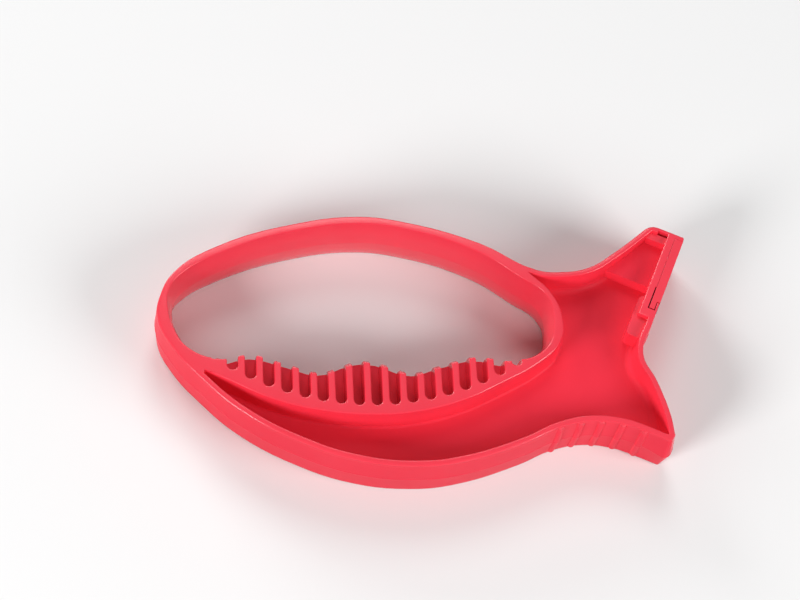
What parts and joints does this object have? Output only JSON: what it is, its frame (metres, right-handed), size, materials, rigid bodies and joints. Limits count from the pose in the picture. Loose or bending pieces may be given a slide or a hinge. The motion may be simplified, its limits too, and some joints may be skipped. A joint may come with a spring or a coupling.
{
  "type": "edge tuning tool",
  "caption": "Fish-shaped moulded hand sharpener: a knuckle bow round a finger hole with a comb grip, a thumb rest, and a forked tail whose upper prong holds a carbide blade in a carrier strip.",
  "frame": {"origin": "under the middle of the box, on the plane the tool lies on", "axes": "+X along the length, nose at -X and tail at +X; +Y from the thumb rest to the knuckle bow; +Z through the thickness, up from the face it lies on"},
  "size_m": [0.1766, 0.0892, 0.022],
  "materials": {
    "handle_plastic": "semi-gloss moulded red",
    "carrier_plastic": "semi-gloss moulded red",
    "carbide": "ground tungsten carbide"
  },
  "bodies": {
    "root": {"handle_body": "handle_plastic", "blade_carrier": "carrier_plastic", "carbide_blade": "carbide"}
  },
  "joints": []
}
